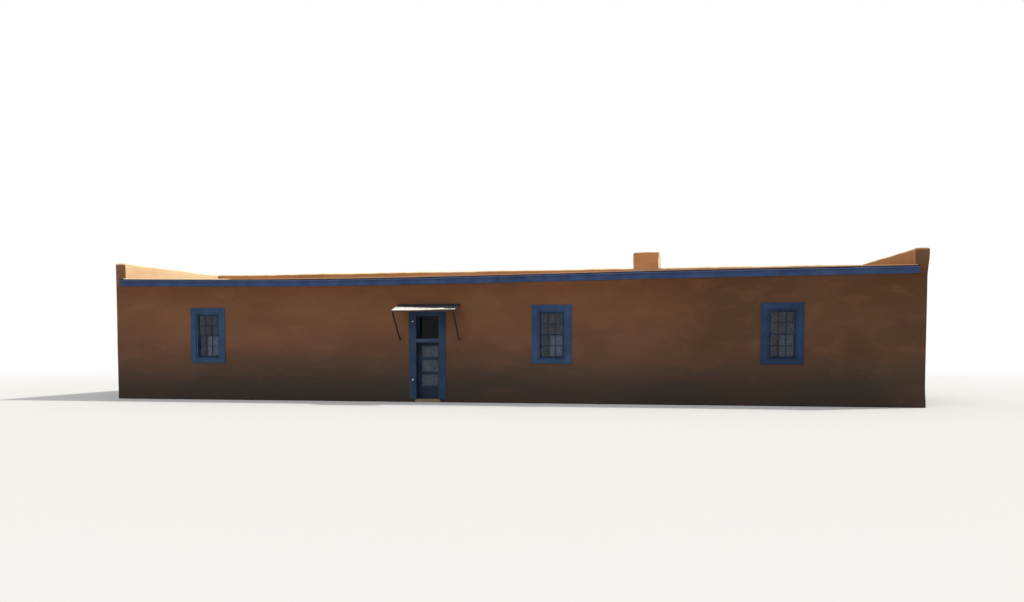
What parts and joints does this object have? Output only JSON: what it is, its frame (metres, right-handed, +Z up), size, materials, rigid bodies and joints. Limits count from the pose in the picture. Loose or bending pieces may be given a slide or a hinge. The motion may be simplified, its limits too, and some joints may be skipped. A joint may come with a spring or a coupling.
{
  "type": "adobe house",
  "caption": "Long single-storey adobe house with a flat roof behind parapets, blue fascia, casings and door, a chimney and a corrugated metal canopy over the door.",
  "frame": {"origin": "on the ground under the middle of the walls' outline", "axes": "+X along the front wall to the right as seen from outside, +Y from the front to the back, +Z up"},
  "size_m": [27.3, 7.474, 5.022],
  "materials": {
    "adobe": "hand-plastered mud, matt",
    "floor": "trowelled earth floor",
    "roof_coating": "trowelled mud and lime",
    "log_wood": "peeled log, aged",
    "roof_board_wood": "rough sawn",
    "blue_painted_wood": "weathered paint",
    "light_blue_painted_wood": "weathered paint",
    "dark_blue_painted_wood": "weathered paint",
    "window_glass": "clear",
    "curtain_cloth": "cotton lace",
    "dark_iron": "rusted",
    "aged_brass": "dull",
    "corrugated_steel": "galvanised, rusted at the wall",
    "weathered_timber": "bare and weathered"
  },
  "bodies": {
    "house": {"floor_slab": "floor", "front_wall_left": "adobe", "front_wall_over_door": "adobe", "front_wall_right": "adobe", "left_end_wall": "adobe", "right_end_wall": "adobe", "back_wall": "adobe", "ceiling_logs": "log_wood", "roof_boards": "roof_board_wood", "roof_coating": "roof_coating", "parapet_coves": "roof_coating", "fascia_boards": "blue_painted_wood", "chimney_stack": "adobe", "front_window_casings": "blue_painted_wood", "front_window_frames": "blue_painted_wood", "front_upper_sashes": "dark_blue_painted_wood", "front_lower_sashes": "dark_blue_painted_wood", "front_window_glass": "window_glass", "window_curtains": "curtain_cloth", "curtain_rods": "dark_iron", "back_window_casings": "blue_painted_wood", "back_window_frames": "blue_painted_wood", "back_upper_sashes": "dark_blue_painted_wood", "back_lower_sashes": "dark_blue_painted_wood", "back_window_glass": "window_glass", "door_casings": "blue_painted_wood", "door_frame": "blue_painted_wood", "door_transom_bar": "light_blue_painted_wood", "transom_sash": "dark_blue_painted_wood", "transom_glass": "window_glass", "door_threshold": "floor", "door_stops": "blue_painted_wood", "jamb_hinges": "dark_iron", "canopy_sheet": "corrugated_steel", "canopy_ledger": "weathered_timber", "canopy_rafters": "weathered_timber", "canopy_front_rail": "weathered_timber", "canopy_struts": "weathered_timber"},
    "front_door": {"door_leaf": "dark_blue_painted_wood", "door_glass": "window_glass", "door_curtain": "curtain_cloth", "door_curtain_rods": "dark_iron", "door_knob": "aged_brass", "leaf_hinges": "dark_iron"}
  },
  "joints": [
    {"name": "front_door_hinge", "type": "hinge", "parent": "house", "child": "front_door", "pos_m": [-2.4149, -2.946, 1], "axis": [0, 0, 1], "range_deg": [0, 90]}
  ]
}
